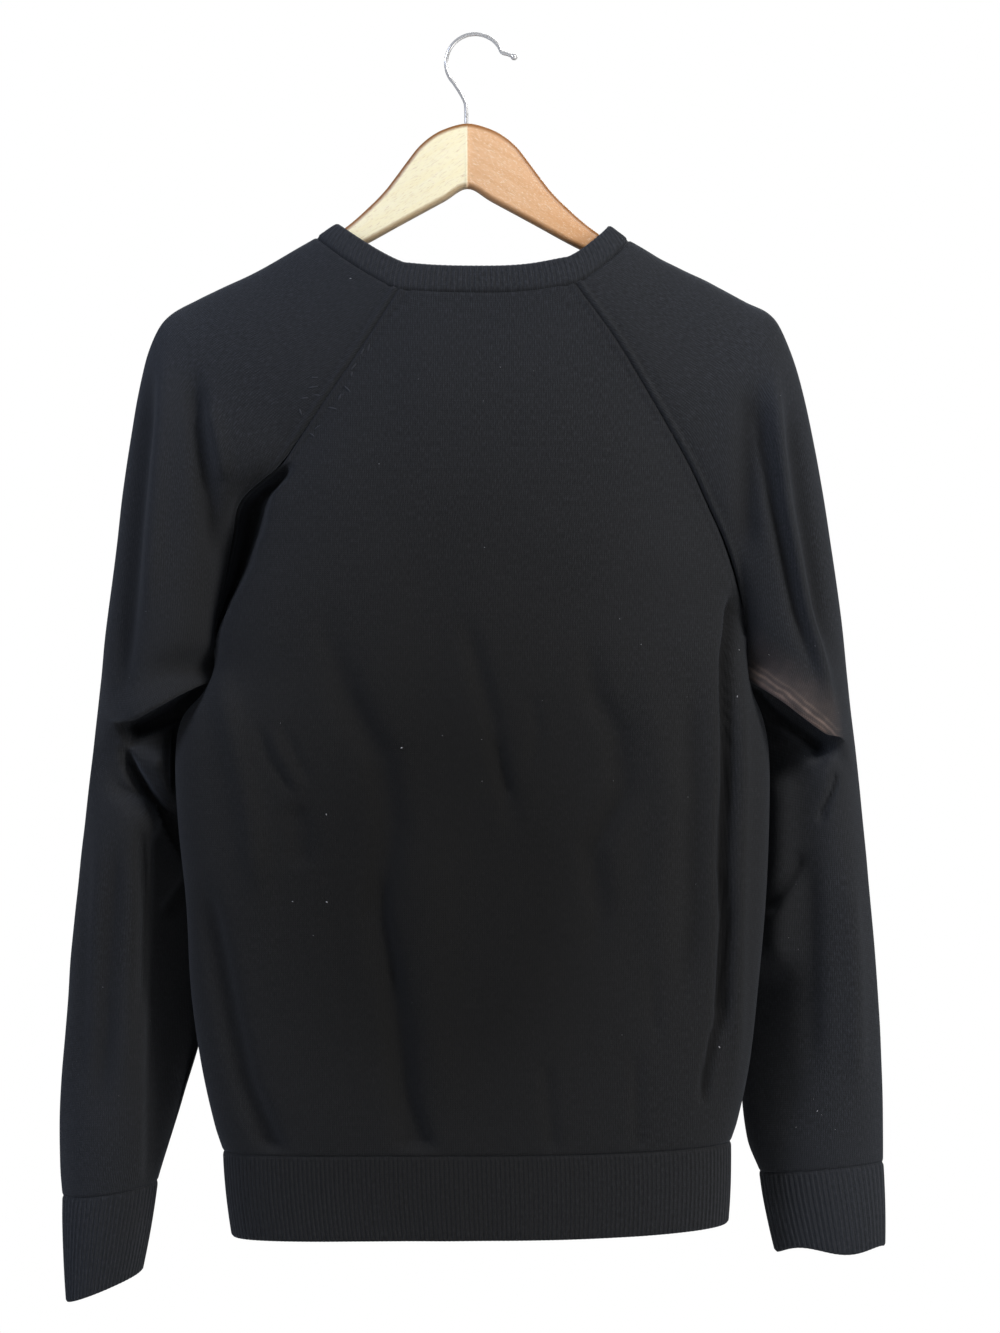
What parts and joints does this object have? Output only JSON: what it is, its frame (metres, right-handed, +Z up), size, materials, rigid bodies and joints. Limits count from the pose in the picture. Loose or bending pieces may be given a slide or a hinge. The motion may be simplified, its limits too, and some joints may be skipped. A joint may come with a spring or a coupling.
{
  "type": "raglan wool sweater on wooden hanger",
  "caption": "Fine-knit crew-neck raglan sweater with ribbed neck, cuffs and hem, hanging on a contoured wooden hanger with a wire hook.",
  "frame": {"origin": "inside of the hook's top, where the hanger hangs", "axes": "+Z up, +Y towards the sweater's front, +X to the wearer's right"},
  "size_m": [0.6145, 0.121, 0.9318],
  "materials": {
    "wool_jersey": "fine plain knit, matt, charcoal",
    "wool_rib": "one-by-one rib, matt, charcoal",
    "beech": "clear satin varnish",
    "chrome_wire": "bright plated wire"
  },
  "bodies": {
    "root": {"back_panel": "wool_jersey", "front_panel": "wool_jersey", "sleeve_left": "wool_jersey", "sleeve_right": "wool_jersey", "neck_rib": "wool_rib", "hem_rib": "wool_rib", "cuff_left": "wool_rib", "cuff_right": "wool_rib", "hanger": "beech", "hook": "chrome_wire"}
  },
  "joints": []
}
